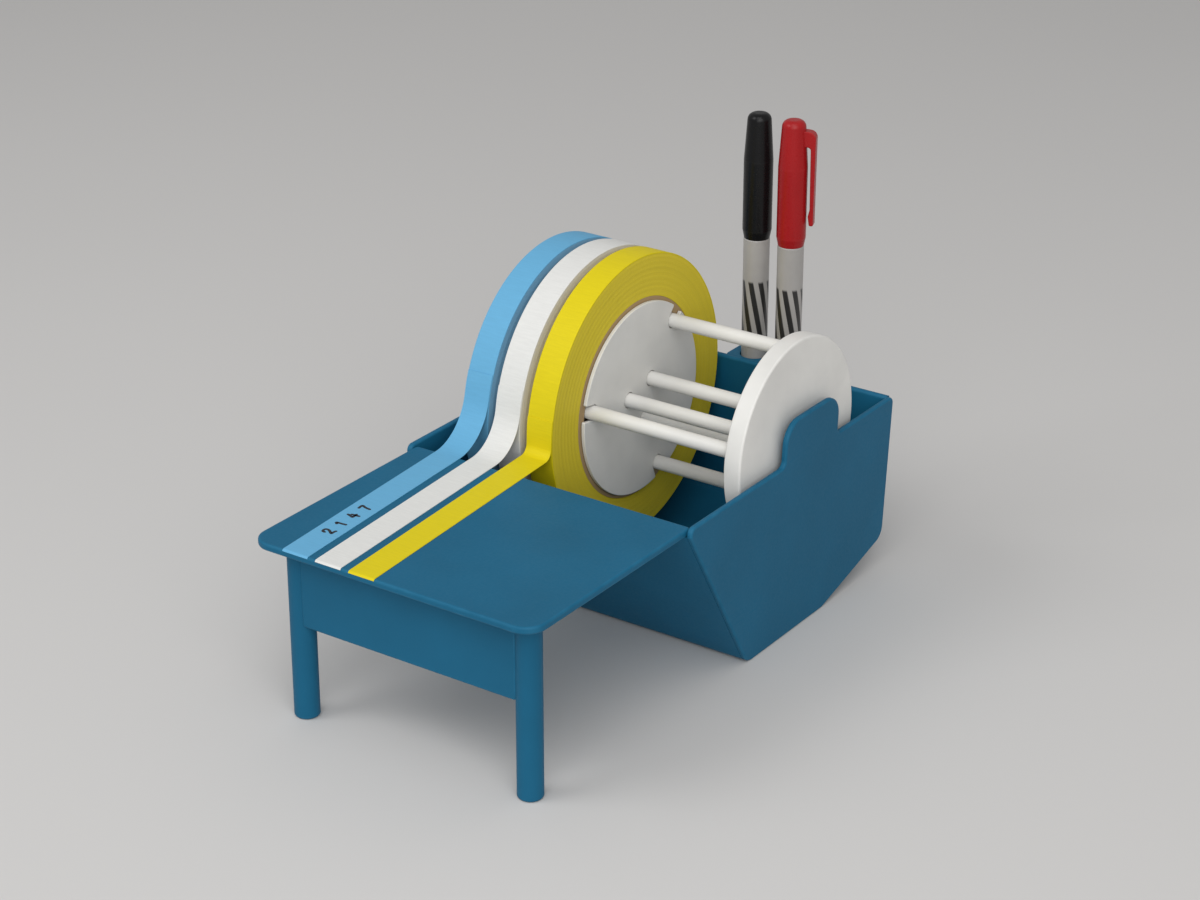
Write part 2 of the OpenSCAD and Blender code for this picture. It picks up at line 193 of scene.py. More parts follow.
class MarkerSizes(bpy.types.PropertyGroup):
    """Sizes of the two markers."""

    barrel_r: length("Barrel", "Radius of a barrel", 5.5)
    neck_r: length("Neck", "Radius of the neck under the cap", 4.5)
    neck: length("Neck length", "Length of the straight neck", 12)
    nose_r: length("Nose", "Radius of the nose's tip", 2.5)
    nib_r: length("Nib", "Radius of a nib", 1.5)
    cap_r: length("Cap", "Radius of a cap", 6.1)
    cap_wall: length("Cap wall", "Wall of a cap", 1.3)
    cap_depth: length("Cap depth", "Depth of the hollow in a cap", 30)
    cap_straight: length("Cap straight", "Length of a cap's straight part", 34)
    cap_taper: length("Cap taper", "Drawing-in of a cap's open end", 0.75)
    crown_step: length("Crown", "Drawing-in of a cap's closed end", 1.3)
    crown_round: length("Crown rounding", "Rounding of a cap's closed end", 3)
    clip_width: length("Clip width", "Width of a clip", 4.4)
    clip_thick: length("Clip", "Thickness of a clip", 1.8)
    clip_gap: length("Clip gap", "Gap between clip and cap", 1.6)
    clip_drop: length("Clip drop", "Distance from a cap's closed end to its clip", 4.5)
    clip_long: length("Clip length", "Length of a clip", 40)
    black_clip: angle("Black clip", "Turn of the black cap's clip", 110)
    red_clip: angle("Red clip", "Turn of the red cap's clip", 20)


class Colours(bpy.types.PropertyGroup):
    """Colours of the finishes."""

    body: colour("Body", "Blue moulded sheet", (0.009, 0.112, 0.21))
    spindle: colour("Spindle", "Off-white moulding", (0.72, 0.71, 0.68))
    blue_tape: colour("Blue tape", "Paper of the blue tape", (0.13, 0.39, 0.62))
    white_tape: colour("White tape", "Paper of the white tape", (0.70, 0.70, 0.68))
    yellow_tape: colour("Yellow tape", "Paper of the yellow tape", (0.69, 0.565, 0.006))
    core: colour("Core", "Wound board of the cores", (0.36, 0.25, 0.13))
    barrel: colour("Barrel", "Grey of the barrels", (0.36, 0.345, 0.33))
    band: colour("Barrel band", "Plain dark bars on the barrels", (0.02, 0.019, 0.019))
    black_cap: colour("Black cap", "Gloss of the black cap", (0.005, 0.005, 0.0055))
    red_cap: colour("Red cap", "Gloss of the red cap", (0.33, 0.009, 0.011))
    black_nib: colour("Black nib", "Ink-soaked felt", (0.006, 0.006, 0.007))
    red_nib: colour("Red nib", "Ink-soaked felt", (0.25, 0.01, 0.012))
    ink: colour("Ink", "Written numerals", (0.01, 0.012, 0.02))
    floor: colour("Floor", "Pale studio floor", (0.60, 0.59, 0.58))


class StageSettings(bpy.types.PropertyGroup):
    """Camera and light."""

    lens: bpy.props.FloatProperty(name="Lens", description="Focal length on a 36 mm frame", default=85.55)
    camera: bpy.props.FloatVectorProperty(
        name="Camera", description="Place of the camera", default=(0.5775, -0.83245, 0.5414), subtype="XYZ"
    )
    yaw: angle("Yaw", "Turn of the camera to the left", 34.7)
    pitch: angle("Pitch", "Tilt of the camera below level", 24.5)
    key: power("Key", "Large lamp at the front left", 3.6)
    front: power("Front", "Large lamp low in front", 2.2)
    fill: power("Fill", "Large lamp at the front right", 3.8)
    top: power("Top", "Large lamp overhead, right of the front", 2.8)
    spread: angle("Spread", "Width of each lamp's beam, narrow enough for an evenly pale floor", 100)
    sky: bpy.props.FloatProperty(name="Sky", description="Strength of the even light", default=0.42)


# Shapes

HOLD = 0.15 * MM
HALF_ROUND = 24  # points on half a circle
FILL_INSIDE = 1
SAME_POINT = 1e-6
SHARP_ANGLE = math.radians(40)


def unit(vectors):
    """Vectors divided by their lengths."""
    return vectors / np.linalg.norm(vectors, axis=-1, keepdims=True)


def circle(centre, radius, start, end, count):
    """Points centre + radius (cos t, sin t), with t from start to end in degrees."""
    t = np.radians(np.linspace(start, end, count))
    return np.asarray(centre) + radius * np.stack([np.cos(t), np.sin(t)], 1)


def oblong(low, high, up=1):
    """Four corners of a box seen with its first axis to the right and the axis numbered up upwards."""
    return [[low[0], low[up]], [high[0], low[up]], [high[0], high[up]], [low[0], high[up]]]


def chain(parts):
    """Corner points and radii of a line made of rows of points, each row with one radius."""
    line = np.concatenate([points for points, _ in parts])
    return line, np.concatenate([np.full(len(points), radius, float) for points, radius in parts])


def rounded(points, radii, closed=True, steps=6, hold=HOLD):
    """Line through corner points, with round corners.

    Where the directions before and after a corner are u and v, turn = atan2(u x v, u . v). The arc of
    radius r starts r tan(|turn| / 2) before the corner, and its points are centre + R(s turn) spoke
    with s from 0 to 1. One more point holds the line straight on each side. A radius of 0 keeps the
    corner. The third column is 1 on the arcs, which the finishes read as a worn edge.
    """
    p = np.asarray(points, float)
    r = np.broadcast_to(np.asarray(radii, float), (len(p),))
    u = unit(p - np.roll(p, 1, 0))
    v = unit(np.roll(p, -1, 0) - p)
    turn = np.arctan2(u[:, 0] * v[:, 1] - u[:, 1] * v[:, 0], (u * v).sum(1))
    reach = r * np.tan(np.abs(turn) / 2)
    left = np.stack([-u[:, 1], u[:, 0]], 1) * np.sign(turn)[:, None]
    start = p - u * reach[:, None]
    spoke = -left * r[:, None]
    across = np.stack([-spoke[:, 1], spoke[:, 0]], 1)
    s = (turn[:, None] * np.linspace(0, 1, steps + 1))[..., None]
    arc = (start - spoke)[:, None] + np.cos(s) * spoke[:, None] + np.sin(s) * across[:, None]
    before = (start - u * hold)[:, None]
    after = (p + v * (reach + hold)[:, None])[:, None]
    line = np.concatenate([before, arc, after], 1)
    mark = np.ones(line.shape[:2] + (1,))
    mark[:, [0, -1]] = 0
    line = np.concatenate([line, mark], 2)
    plain = np.concatenate([p, np.zeros((len(p), 1))], 1)[:, None]
    ends = () if closed else (0, len(p) - 1)
    return np.concatenate([plain[i] if r[i] == 0 or i in ends else line[i] for i in range(len(p))])


def hole(centre, radius, count):
    """Circle of a hole, turned clockwise so that its wall faces inwards."""
    points = circle(centre, radius, 0, 360, count + 1)[:-1]
    return np.concatenate([points[::-1], np.zeros((count, 1))], 1)


def mitre(before, after):
    """Mitres of pairs of unit normals: (n0 + n1) / (1 + n0 . n1)."""
    return (before + after) / (1 + (before * after).sum(1))[:, None]


def mitres(line):
    """Outward mitres of a closed counter-clockwise line."""
    edge = unit(np.roll(line, -1, 0) - line)
    after = np.stack([edge[:, 1], -edge[:, 0]], 1)
    return mitre(np.roll(after, 1, 0), after)


def grid_faces(rows, columns, first, wrap_rows=False):
    """Four-sided faces of a grid whose columns close on themselves, and its rows too if asked."""
    i, j = np.meshgrid(np.arange(rows if wrap_rows else rows - 1), np.arange(columns), indexing="ij")
    k, m = (j + 1) % columns, (i + 1) % rows
    quads = np.stack([i * columns + j, i * columns + k, m * columns + k, m * columns + j], -1)
    return (first + quads.reshape(-1, 4)).tolist()


def cap_faces(loops, numbers, up):
    """Triangles that fill a flat outline and leave its holes open, all facing up or all down.

    The outline is the first loop. The holes are convex, so a triangle with all its corners on one
    hole lies in it.
    """
    counts = [len(loop) for loop in loops]
    owner = np.repeat(np.arange(len(loops)), counts)
    rings = np.split(np.arange(len(owner)), np.cumsum(counts)[:-1])
    sides = np.concatenate([np.stack([ring, np.roll(ring, -1)], 1) for ring in rings])
    flat = np.concatenate(loops) / MM
    result = delaunay_2d_cdt(flat.tolist(), sides.tolist(), [], FILL_INSIDE, SAME_POINT)
    filled, source = np.array(result[2]), result[3]
    tri = np.array([next(iter(same), -1) for same in source])[filled]
    in_hole = (owner[tri] == owner[tri[:, :1]]).all(1) & (owner[tri[:, 0]] > 0)
    tri = tri[~in_hole & (tri.min(1) >= 0)]
    return np.concatenate(numbers)[tri if up else tri[:, ::-1]].tolist()


def slab(outline, low, high, edge, holes=(), floor=None, steps=4, hold=HOLD):
    """Plate of an outline between two heights, with rounded edges and holes.

    A ring of the edge at the angle a, from 0 to 90 degrees, is the outline moved inwards by
    edge (1 - sin a), at the height edge (1 - cos a) from the face. Flat caps fill the last rings.
    holes are closed clockwise lines, and go down to the height of the floor or right through.
    """
    a = np.linspace(0, np.pi / 2, steps + 1)
    inset, rise, ring_mark = np.zeros(1), np.zeros(1), np.zeros(1)
    if edge:
        inset = np.concatenate([[edge + hold], edge * (1 - np.sin(a)), [0]])
        rise = np.concatenate([[0], edge * (1 - np.cos(a)), [edge + hold]])
        ring_mark = np.concatenate([[0], np.ones(steps + 1), [0]])
    points, marks, faces, tops, bottoms = [], [], [], [], []
    first = 0
    for line in (outline, *holes):
        blind = floor is not None and line is not outline
        foot = ([0], [floor], [0]) if blind else (inset, low + rise, ring_mark)
        head = (inset, high - rise, ring_mark)
        insets, levels, ring = (np.concatenate([x, y[::-1]]) for x, y in zip(foot, head))
        flat = line[:, :2]
        rings = flat[None] - insets[:, None, None] * mitres(flat)[None]
        z = np.broadcast_to(levels[:, None, None], rings.shape[:2] + (1,))
        points.append(np.concatenate([rings, z], 2).reshape(-1, 3))
        mark = np.maximum(ring[:, None], line[None, :, 2])
        marks.append(np.where(insets[:, None] > edge, 0, mark).ravel())
        rows, columns = rings.shape[:2]
        faces += grid_faces(rows, columns, first)
        low_ring = first + np.arange(columns)
        tops.append((rings[-1], low_ring + (rows - 1) * columns))
        if blind:
            faces.append(low_ring[::-1].tolist())
        else:
            bottoms.append((rings[0], low_ring))
        first += rows * columns
    faces += cap_faces(*zip(*tops), True) + cap_faces(*zip(*bottoms), False)
    return np.concatenate(points), faces, np.concatenate(marks)


def lathe(profile, count, ring=False):
    """Profile of radius and height turned about the third axis: (r cos t, r sin t, h).

    A profile from the axis to the axis closes in a point at each end, and one marked as a ring
    closes on itself round a bore.
    """
    line = np.asarray(profile, float)
    mark = line[:, 2] if line.shape[1] > 2 else np.zeros(len(line))
    body = slice(None) if ring else slice(1, -1)
    r, h = line[body, :1], line[body, 1:2]
    j = np.arange(count)
    t = j * 2 * np.pi / count
    points = np.stack([r * np.cos(t), r * np.sin(t), np.repeat(h, count, 1)], 2).reshape(-1, 3)
    faces = grid_faces(len(r), count, 0, wrap_rows=ring)
    marks = np.repeat(mark[body], count)
    if not ring:
        k = (j + 1) % count
        last = (len(r) - 1) * count
        pole = np.full(count, len(points))
        faces += np.stack([pole, k, j], 1).tolist() + np.stack([pole + 1, last + j, last + k], 1).tolist()
        points = np.concatenate([points, [[0, 0, line[0, 1]], [0, 0, line[-1, 1]]]])
        marks = np.concatenate([marks, [0, 0]])
    return points, faces, marks


def round_bar(r, low, high, edge, count):
    """Round bar between two heights, with rounded ends."""
    return lathe(rounded([[0, low], [r, low], [r, high], [0, high]], edge, closed=False), count)


def ribbon(sections):
    """Closed strip through sections of four corners each."""
    points = sections.reshape(-1, 3)
    faces = grid_faces(len(sections), 4, 0) + [[3, 2, 1, 0], list(range(len(points) - 4, len(points)))]
    return points, faces, np.zeros(len(points))


def moved(shape, offset):
    """Shape moved by an offset."""
    points, faces, marks = shape
    return points + offset, faces, marks


def along_x(shape, centre=(0, 0)):
    """Shape drawn in Y and Z about a centre and carried along X."""
    points, faces, marks = shape
    return points[:, [2, 0, 1]] + [0, *centre], faces, marks


def on_side(side, shape):
    """Shape of the right side, or on the left its mirror image with the faces turned back outwards."""
    points, faces, marks = shape
    return (points * [-1, 1, 1], [face[::-1] for face in faces], marks) if side == "left" else shape


def joined(*shapes):
    """Several shapes of points, faces and marks as one."""
    points, faces, marks, first = [], [], [], 0
    for p, f, m in shapes:
        points.append(p)
        marks.append(m)
        faces += [[first + i for i in face] for face in f]
        first += len(p)
    return np.concatenate(points), faces, np.concatenate(marks)


def make_piece(name, shape, body, slot, material, node=None, blend=None, **attributes):
    """Mesh object of a shape that rides on a body, or stays fixed in place, and stands for its solid."""
    points, faces, marks = shape
    mesh = bpy.data.meshes.new(name)
    mesh.from_pydata(points.tolist(), [], faces)
    for title, values in {"edge": marks, **attributes}.items():
        mesh.attributes.new(title, "FLOAT", "POINT").data.foreach_set("value", values.astype(np.float32))
    mesh.shade_smooth()
    mesh.set_sharp_from_angle(angle=SHARP_ANGLE)
    mesh.materials.append(material)
    piece = bpy.data.objects.new(name, mesh)
    bpy.context.scene.collection.objects.link(piece)
    if blend:
        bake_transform(piece)
    else:
        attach(piece, body)
    if node:
        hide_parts(node)


# Finishes

NOISE_FALL = 0.55
NOISE_LOW = 0.3
NOISE_HIGH = 0.7

# Scales are in waves per metre, and pairs are the two ends of a range
BLOTCH_SHADE = (0.94, 1.06)
GRAIN_ROUGH = (-0.05, 0.05)
SCUFF_SCALE = (900, 60, 900)
SCUFF_LINES = (0.62, 0.74)
SCUFF_PLACES = (0.45, 0.6)
SCUFF_TINT = 0.10
SCUFF_ROUGH = 0.14
SCUFF_DEPTH = 0.25
WEAR_SCALE = 160
WEAR_PLACES = (0.35, 0.7)
WEAR_LEAST = 0.1
COAT_ROUGHNESS = 0.12
PLASTIC_DEPTH = 0.2 * MM
BODY_WORN = (0.035, 0.19, 0.32)
SPINDLE_WORN = (0.78, 0.77, 0.74)
CORE_WORN = (0.45, 0.34, 0.2)
BARREL_WORN = (0.5, 0.5, 0.5)

CREPE_SCALE = (140, 1500, 1500)
CREPE_SHADE = (0.965, 1.03)
FIBRE_SCALE = 2600
FIBRE_SHADE = (-0.015, 0.015)
FIBRE_ROUGH = (0.52, 0.68)
FIBRE_DEPTH = 0.35
FINE_RINGS = 5200
FINE_SHARE = 0.6
BROAD_RINGS = 420
BROAD_SHARE = 0.4
RING_SHADE = (-0.08, 0.10)
CUT_EDGE = (0.66, 0.44, 0.26, 1)
CUT_SHARE = 0.12
PAPER_GLOSS = 0.2
PAPER_BUMP = 0.25
PAPER_DEPTH = 0.15 * MM

BAR_COUNT = 8
BAR_RISE = 22 * MM
BAR_EDGE = (0.48, 0.56)
BAR_FOOT = (85.5 * MM, 86 * MM)
BAR_HEAD = (111 * MM, 112 * MM)


class Web:
    """Adds nodes to a shader tree and joins their sockets."""

    def __init__(self, tree):
        self.tree = tree

    def feed(self, socket, value):
        """Links a socket to another one or sets it to a value."""
        if isinstance(value, bpy.types.NodeSocket):
            self.tree.links.new(value, socket)
        else:
            socket.default_value = value

    def add(self, kind, sockets=(), **settings):
        """A node with its settings and its named sockets fed."""
        node = self.tree.nodes.new(kind)
        for key, value in settings.items():
            setattr(node, key, value)
        for key, value in dict(sockets).items():
            self.feed(node.inputs[key], value)
        return node

    def math(self, operation, a, b=0.0, clamp=False):
        """One calculation on two numbers."""
        return self.add("ShaderNodeMath", {0: a, 1: b}, operation=operation, use_clamp=clamp).outputs[0]

    def times(self, a, b):
        """Product of two numbers."""
        return self.math("MULTIPLY", a, b)

    def plus(self, a, b, clamp=False):
        """Sum of two numbers."""
        return self.math("ADD", a, b, clamp)

    def noise(self, vector, scale, detail=2.0, **settings):
        """Noise value about 0.5."""
        sockets = {"Scale": scale, "Detail": detail, "Roughness": NOISE_FALL}
        sockets["W" if settings.get("noise_dimensions") == "1D" else "Vector"] = vector
        return self.add("ShaderNodeTexNoise", sockets, **settings).outputs[0]

    def ranged(self, value, new_low, new_high, low=NOISE_LOW, high=NOISE_HIGH):
        """Value moved from one range, that of noise if none is given, to another and held at its ends."""
        ends = {"From Min": low, "From Max": high, "To Min": new_low, "To Max": new_high}
        return self.add("ShaderNodeMapRange", {"Value": value, **ends}).outputs[0]

    def stretched(self, vector, scale):
        """Coordinates scaled by a factor for each axis."""
        return self.add("ShaderNodeMapping", {"Vector": vector, "Scale": scale}).outputs[0]

    def tinted(self, colour_socket, value):
        """Colour with its brightness multiplied by a value."""
        return self.add("ShaderNodeHueSaturation", {"Color": colour_socket, "Value": value}).outputs[0]

    def mixed(self, factor, a, b):
        """Mix of two colours."""
        node = self.add("ShaderNodeMix", data_type="RGBA")
        colours = [socket for socket in node.inputs if socket.type == "RGBA"]
        for socket, value in zip([node.inputs[0], *colours], [factor, a, b]):
            self.feed(socket, value)
        return next(socket for socket in node.outputs if socket.type == "RGBA")


def effect(name, inputs, outputs, build):
    """Shader group made once: build takes its web and its input sockets and returns its outputs."""
    group = bpy.data.node_groups.get(name)
    if group:
        return group
    group = bpy.data.node_groups.new(name, "ShaderNodeTree")
    for way, sockets in (("INPUT", inputs), ("OUTPUT", outputs)):
        for title, kind in sockets.items():
            group.interface.new_socket(title, in_out=way, socket_type="NodeSocket" + kind)
    web = Web(group)
    results = build(web, web.add("NodeGroupInput").outputs)
    web.add("NodeGroupOutput", dict(zip(outputs, results)))
    return group


def build_moulding(web, source):
    """Moulded surface: soft blotches in the colour, fine grain, long scuffs and paler worn edges."""
    place, paler = source["Vector"], source["Worn colour"]
    blotch = web.noise(place, source["Blotch"], 3)
    grain = web.noise(place, source["Grain"], 3)
    lines = web.noise(web.stretched(place, SCUFF_SCALE), 1.0, 4)
    scuff = web.times(web.ranged(lines, 0, 1, *SCUFF_LINES), web.ranged(blotch, 0, 1, *SCUFF_PLACES))
    tint = web.tinted(source["Colour"], web.ranged(blotch, *BLOTCH_SHADE))
    patches = web.ranged(web.noise(place, WEAR_SCALE, 3), WEAR_LEAST, 1, *WEAR_PLACES)
    worn = web.times(source["Edge"], patches)
    tint = web.mixed(web.times(worn, source["Wear"]), tint, paler)
    tint = web.mixed(web.times(scuff, SCUFF_TINT), tint, paler)
    rough = web.plus(source["Roughness"], web.ranged(grain, *GRAIN_ROUGH))
    rough = web.plus(rough, web.times(scuff, SCUFF_ROUGH), clamp=True)
    height = web.math("SUBTRACT", grain, web.times(scuff, SCUFF_DEPTH))
    return tint, rough, height


def build_paper(web, source):
    """Paper tape: crepe lines across the tape, fibres, and warmer rings of windings where Side is 1."""
    place, side = source["Vector"], source["Side"]
    crepe = web.noise(web.stretched(place, CREPE_SCALE), 1.0, 3)
    fibre = web.noise(place, FIBRE_SCALE, 2)
    apart = web.add("ShaderNodeSeparateXYZ", {0: place}).outputs
    flat = web.add("ShaderNodeCombineXYZ", {"Y": apart["Y"], "Z": apart["Z"]}).outputs[0]
    distance = web.add("ShaderNodeVectorMath", {0: flat, 1: source["Axis"]}, operation="DISTANCE")
    radius = distance.outputs["Value"]
    fine = web.noise(web.times(radius, FINE_RINGS), 1.0, 2, noise_dimensions="1D")
    broad = web.noise(web.times(radius, BROAD_RINGS), 1.0, 2, noise_dimensions="1D")
    rings = web.plus(web.times(fine, FINE_SHARE), web.times(broad, BROAD_SHARE))
    windings = web.times(side, web.ranged(rings, *RING_SHADE))
    shade = web.plus(web.ranged(crepe, *CREPE_SHADE), windings)
    shade = web.plus(shade, web.ranged(fibre, *FIBRE_SHADE))
    tint = web.mixed(web.times(side, CUT_SHARE), web.tinted(source["Colour"], shade), CUT_EDGE)
    rough = web.ranged(fibre, *FIBRE_ROUGH)
    tread = web.math("SUBTRACT", 1.0, side)
    height = web.plus(web.times(crepe, tread), web.times(rings, side))
    return tint, rough, web.plus(height, web.times(fibre, FIBRE_DEPTH))


def build_bars(web, source):
    """Plain bars round a barrel, where the fraction of count t / (2 pi) + z / rise is small.

    t is the turn about the barrel's axis and z the height. The bars end at a low and a high z.
    """
    ends = {0: source["Vector"], 1: source["Centre"]}
    offset = web.add("ShaderNodeVectorMath", ends, operation="SUBTRACT").outputs[0]
    apart = web.add("ShaderNodeSeparateXYZ", {0: offset}).outputs
    turn = web.math("ARCTAN2", apart["Y"], apart["X"])
    around = web.times(turn, BAR_COUNT / (2 * math.pi))
    slanted = web.plus(around, web.math("DIVIDE", apart["Z"], BAR_RISE))
    bars = web.ranged(web.math("FRACT", slanted), 1, 0, *BAR_EDGE)
    low = web.ranged(apart["Z"], 0, 1, *BAR_FOOT)
    high = web.ranged(apart["Z"], 1, 0, *BAR_HEAD)
    return (web.times(bars, web.times(low, high)),)


MOULDING_INPUTS = {
    "Vector": "Vector", "Colour": "Color", "Worn colour": "Color", "Edge": "Float", "Wear": "Float",
    "Blotch": "Float", "Grain": "Float", "Roughness": "Float",
}
PAPER_INPUTS = {"Vector": "Vector", "Colour": "Color", "Side": "Float", "Axis": "Vector"}
SURFACE_OUTPUTS = {"Colour": "Color", "Roughness": "Float", "Height": "Float"}


def start_material(name):
    """Empty material with its web, its shader and the object coordinates."""
    material = bpy.data.materials.new(name)
    material.use_nodes = True
    material.node_tree.nodes.clear()
    web = Web(material.node_tree)
    shader = web.add("ShaderNodeBsdfPrincipled")
    web.add("ShaderNodeOutputMaterial", {"Surface": shader.outputs[0]})
    return material, web, shader, web.add("ShaderNodeTexCoord").outputs["Object"]


def surfaced(name, group, mask, values, bump, depth, constants):
    """Material made once, with its colour, roughness and height from a group that reads a mesh's mask."""
    found = bpy.data.materials.get(name)
    if found:
        return found
    material, web, shader, place = start_material(name)
    masked = web.add("ShaderNodeAttribute", attribute_name=mask.lower()).outputs["Fac"]
    sockets = {"Vector": place, mask: masked, **values}
    surface = web.add("ShaderNodeGroup", sockets, node_tree=group).outputs
    relief = {"Height": surface["Height"], "Strength": bump, "Distance": depth}
    normal = web.add("ShaderNodeBump", relief).outputs[0]
    varying = {"Base Color": surface["Colour"], "Roughness": surface["Roughness"], "Normal": normal}
    for key, value in {**varying, **constants}.items():
        web.feed(shader.inputs[key], value)
    return material


def moulded(name, tint, worn, roughness, wear=0.35, blotch=26, grain=900, bump=0.12, coat=0, gloss=0.5):
    """Moulded plastic of one colour."""
    group = effect("moulded_surface", MOULDING_INPUTS, SURFACE_OUTPUTS, build_moulding)
    values = {
        "Colour": (*tint, 1), "Worn colour": (*worn, 1), "Wear": wear, "Blotch": blotch, "Grain": grain,
        "Roughness": roughness,
    }
    constants = {"Specular IOR Level": gloss, "Coat Weight": coat, "Coat Roughness": COAT_ROUGHNESS}
    return surfaced(name, group, "Edge", values, bump, PLASTIC_DEPTH, constants)


def paper(tape):
    """Paper of one of the tapes, with windings on the sides of a roll."""
    tint = getattr(bpy.context.scene.dispenser_colours, tape + "_tape")
    group = effect("paper_tape", PAPER_INPUTS, SURFACE_OUTPUTS, build_paper)
    values = {"Colour": (*tint, 1), "Axis": (0, *AXIS)}
    constants = {"Specular IOR Level": PAPER_GLOSS}
    return surfaced(tape + "_paper", group, "Side", values, PAPER_BUMP, PAPER_DEPTH, constants)


def barred(material, centre, dark):
    """Adds plain dark bars to a barrel's finish."""
    web = Web(material.node_tree)
    shader = next(node for node in web.tree.nodes if node.type == "BSDF_PRINCIPLED")
    place = web.add("ShaderNodeTexCoord").outputs["Object"]
    group = effect("plain_bars", {"Vector": "Vector", "Centre": "Vector"}, {"Bars": "Float"}, build_bars)
    bars = web.add("ShaderNodeGroup", {"Vector": place, "Centre": centre}, node_tree=group).outputs[0]
    under = shader.inputs["Base Color"].links[0].from_socket
    web.feed(shader.inputs["Base Color"], web.mixed(bars, under, (*dark, 1)))


def body_piece(name, shape, node):
    """Piece of the body in satin blue, which stands for one solid."""
    tint = bpy.context.scene.dispenser_colours.body
    finish = moulded("blue_moulding", tint, BODY_WORN, roughness=0.5, wear=0.25, bump=0.10, gloss=0.14)
    make_piece(name, shape, "base", "body_blue", finish, node)


def white_piece(name, shape, body, node):
    """Piece of the spindle or its keeper in off-white, which stands for one solid."""
    tint = bpy.context.scene.dispenser_colours.spindle
    finish = moulded(
        "white_moulding", tint, SPINDLE_WORN, roughness=0.44, wear=0.5, blotch=40, bump=0.08, gloss=0.35
    )
    make_piece(name, shape, body, "spindle_white", finish, node)


class Step(bpy.types.Operator):
    """Shared form of the steps that build the dispenser."""

    bl_options = {"REGISTER", "UNDO"}


# Body

LEG_SIDES = 96
LIP_FLAT = 0.3 * MM
SHEET_SUNK = 0.4 * MM
PAD_SUNK = 0.3 * MM
PAD_CORNER = 2 * MM
PAD_ARC = 20
PAD_START = 2  # degrees
MOUTH_ROUND = 0.5 * MM
MOUTH_CLEAR = 7  # degrees
HOLDER_HOLD = 0.08 * MM
HOLE_SIDES = 64


def wall_x(z, panel):
    """Inner face of the leaning side panel at a height: x0 + z (x1 - x0) / z1."""
    return PANEL_LOW[0] + z * (PANEL_HIGH[0] - panel - PANEL_LOW[0]) / PANEL_HIGH[2]


def sheet_corners(body, outwards):
    """Corners of the folded sheet's line in Y and Z, moved outwards along the mitres of its folds."""
    back = BIN_HIGH[1] - body.sheet
    line = np.array([
        [TOP_HIGH[1], TOP_LOW[2]],
        [AXIS[0] - body.floor_fore, body.sheet],
        [AXIS[0] + body.floor_aft, body.sheet],
        [back, body.sheet + body.rear_rise],
        [back, BIN_HIGH[2]],
    ])
    way = unit(np.diff(line, axis=0))
    normal = np.stack([way[:, 1], -way[:, 0]], 1)
    folds = mitre(normal[:-1], normal[1:])
    return line + outwards * np.concatenate([[[1 / way[0, 1], 0]], folds, [[1, 0]]])


def pad_shape(body):
    """Bearing pad from X = 0 to 1: a straight foot and a round top with an open slot.

    The slot's mouth lies at the angle acos(slot radius / pad radius) on the round top.
    """
    slot, r = body.slot_r, (PAD_HIGH[1] - PAD_LOW[1]) / 2
    mouth = math.degrees(math.acos(slot / r))
    outline = rounded(*chain([
        ([[AXIS[0] - r, PAD_LOW[2]], [AXIS[0] + r, PAD_LOW[2]]], PAD_CORNER),
        (circle(AXIS, r, PAD_START, mouth - MOUTH_CLEAR, PAD_ARC), 0),
        (circle(AXIS, r, mouth, mouth, 1), MOUTH_ROUND),
        (circle(AXIS, slot, 0, -180, HALF_ROUND), 0),
        (circle(AXIS, r, 180 - mouth, 180 - mouth, 1), MOUTH_ROUND),
        (circle(AXIS, r, 180 + MOUTH_CLEAR - mouth, 180 - PAD_START, PAD_ARC), 0),
    ]))
    return along_x(slab(outline, 0, 1, 0))


class MakeTable(Step):
    """Writing top with round corners, apron and two round legs"""

    bl_idname = "tape_dispenser.make_table"
    bl_label = "Writing top and legs"

    def execute(self, context):
        body = context.scene.dispenser_body
        corner, small = body.corner_round, body.small_corner
        outline = rounded(oblong(TOP_LOW, TOP_HIGH), [corner, corner, small, small], steps=16)
        top = slab(outline, TOP_LOW[2], TOP_HIGH[2], body.edge_round)
        body_piece("writing_surface", top, "writing_top")
        low, high = span("front_apron")
        outline = rounded(oblong(low, high, up=2), small)
        points, faces, marks = slab(outline, -high[1], -low[1], body.edge_round)
        body_piece("apron_panel", (points[:, [0, 2, 1]] * [1, -1, 1], faces, marks), "front_apron")
        for side in SIDES:
            node = side + "_leg"
            low, high = span(node)
            leg = round_bar((high[0] - low[0]) / 2, 0, high[2], body.foot_round, LEG_SIDES)
            body_piece(side + "_round_leg", moved(leg, middle(node) * [1, 1, 0]), node)
        return {"FINISHED"}


